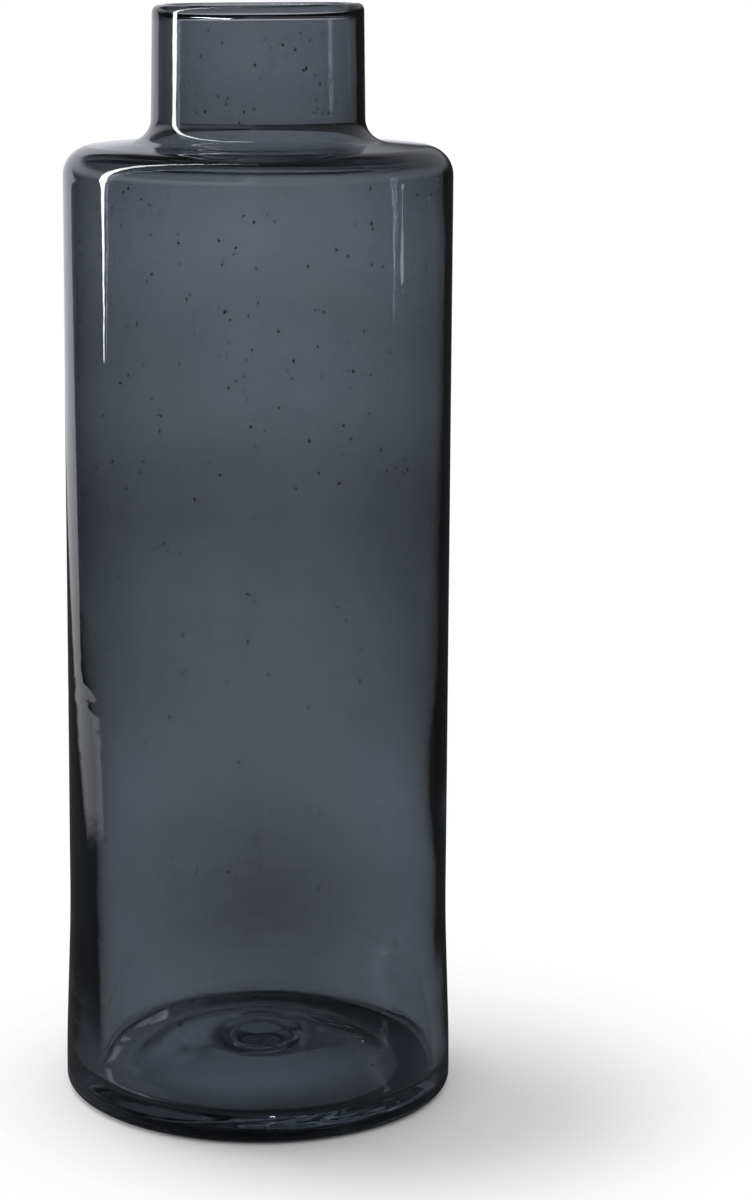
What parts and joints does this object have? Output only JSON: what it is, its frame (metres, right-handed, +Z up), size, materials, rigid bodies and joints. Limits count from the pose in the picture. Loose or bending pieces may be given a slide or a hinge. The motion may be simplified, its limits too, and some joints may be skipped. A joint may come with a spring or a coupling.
{
  "type": "bottle vase",
  "caption": "Tall glass bottle vase: straight round body, almost flat shoulder, short wide neck with a rounded lip, open at the top, standing on a flat ring.",
  "frame": {"origin": "centre of the foot, on the surface the vase stands on", "axes": "+Z up along the vase's axis, out of the mouth; +X and +Y are free, as the vase is round"},
  "size_m": [0.1444, 0.1444, 0.4],
  "materials": {
    "smoke_glass": "fire-polished, see-through; clear glass with a thin smoke-grey skin on its outer side"
  },
  "bodies": {
    "root": {"glass_vessel": "smoke_glass"}
  },
  "joints": []
}
